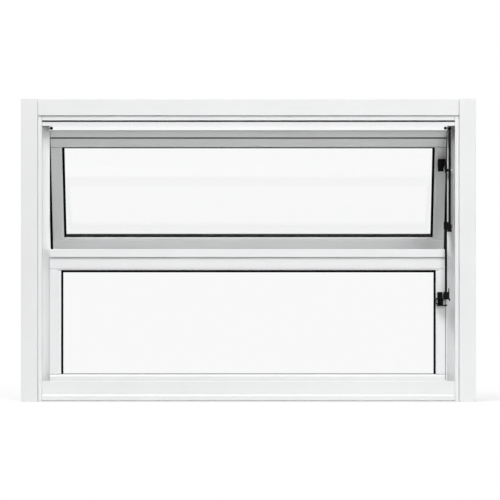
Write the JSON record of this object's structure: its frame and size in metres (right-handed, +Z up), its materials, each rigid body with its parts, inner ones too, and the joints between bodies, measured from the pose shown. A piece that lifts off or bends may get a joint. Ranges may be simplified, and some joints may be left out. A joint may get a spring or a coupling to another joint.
{
  "type": "top hung pivot window",
  "caption": "Small white aluminium wall window: fixed light below, and a top-pivoted sash above that swings outwards, worked by a black side rod.",
  "frame": {"origin": "middle of the sill's underside, in the plane of the room's wall face", "axes": "+X to the right seen from the room, +Y outwards through the wall, +Z up"},
  "size_m": [0.636, 0.1525, 0.4236],
  "materials": {
    "white_coat": "gloss powder coat",
    "black_rubber": "matt",
    "black_nylon": "moulded, satin",
    "black_steel": "black satin",
    "bright_steel": "bright zinc",
    "clear_glass": "clear float glass"
  },
  "bodies": {
    "window_frame": {"head": "white_coat", "sill": "white_coat", "left_jamb": "white_coat", "right_jamb": "white_coat", "left_cover_strip": "white_coat", "right_cover_strip": "white_coat", "top_cover_strip": "white_coat", "lower_top_rail": "white_coat", "lower_bottom_rail": "white_coat", "lower_left_stile": "white_coat", "lower_right_stile": "white_coat", "lower_glass": "clear_glass", "lower_front_gasket": "black_rubber", "lower_back_gasket": "black_rubber", "left_pivot_pin": "black_steel", "right_pivot_pin": "black_steel", "rod_guide_bracket": "black_nylon", "clamp_knob": "black_nylon", "guide_spring_clip": "black_steel"},
    "upper_sash": {"upper_top_rail": "white_coat", "upper_bottom_rail": "white_coat", "upper_left_stile": "white_coat", "upper_right_stile": "white_coat", "upper_glass": "clear_glass", "upper_front_gasket": "black_rubber", "upper_back_gasket": "black_rubber", "left_sash_seal": "black_rubber", "right_sash_seal": "black_rubber", "left_pivot_bush": "black_nylon", "right_pivot_bush": "black_nylon", "sash_bracket": "black_nylon", "bracket_pin": "black_steel"},
    "sash_link": {"connecting_link": "black_steel", "link_pin": "black_steel"},
    "pull_rod": {"pull_bar": "black_steel", "link_bolt": "bright_steel", "rod_coupler": "black_nylon", "coupler_bolt": "black_steel", "lower_rod": "black_steel"}
  },
  "joints": [
    {"name": "sash_pivot", "type": "hinge", "parent": "window_frame", "child": "upper_sash", "pos_m": [0, 0.031, 0.3809], "axis": [1, 0, 0], "range_deg": [-32, 0]},
    {"name": "link_pivot", "type": "hinge", "parent": "upper_sash", "child": "sash_link", "pos_m": [0.27, 0.04309, 0.33174], "axis": [1, 0, 0], "range_deg": [0, 95.82]},
    {"name": "rod_slide", "type": "slide", "parent": "window_frame", "child": "pull_rod", "axis": [0, 0, 1], "range_m": [-0.02527, 0]}
  ],
  "couplings": [
    {"joint": "link_pivot", "follows": "sash_pivot", "ratio": -2.994},
    {"joint": "rod_slide", "follows": "sash_pivot", "m_per_rad": 0.045235}
  ]
}
